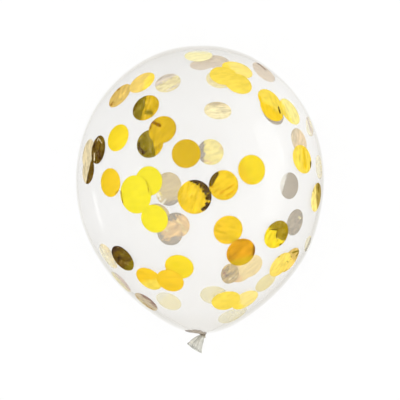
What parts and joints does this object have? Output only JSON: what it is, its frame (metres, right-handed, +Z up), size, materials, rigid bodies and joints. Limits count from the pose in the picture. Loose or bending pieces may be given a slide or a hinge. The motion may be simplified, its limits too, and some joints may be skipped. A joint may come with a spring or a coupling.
{
  "type": "confetti balloon",
  "caption": "Tied clear latex balloon, egg-shaped, with gold foil confetti inside its skin, lying on its side on a small flat spot.",
  "frame": {"origin": "the middle of the flat spot that the balloon rests on, below its widest place", "axes": "+Y along the balloon's axis towards its crown, with the knot towards -Y; +Z up; +X to the right as seen from above with the crown away"},
  "size_m": [0.3, 0.3723, 0.2984],
  "materials": {
    "clear_latex": "clear, glossy, slightly milky latex",
    "gold_foil": "crinkled yellow-gold foil"
  },
  "bodies": {
    "root": {"balloon": "clear_latex"}
  },
  "joints": []
}
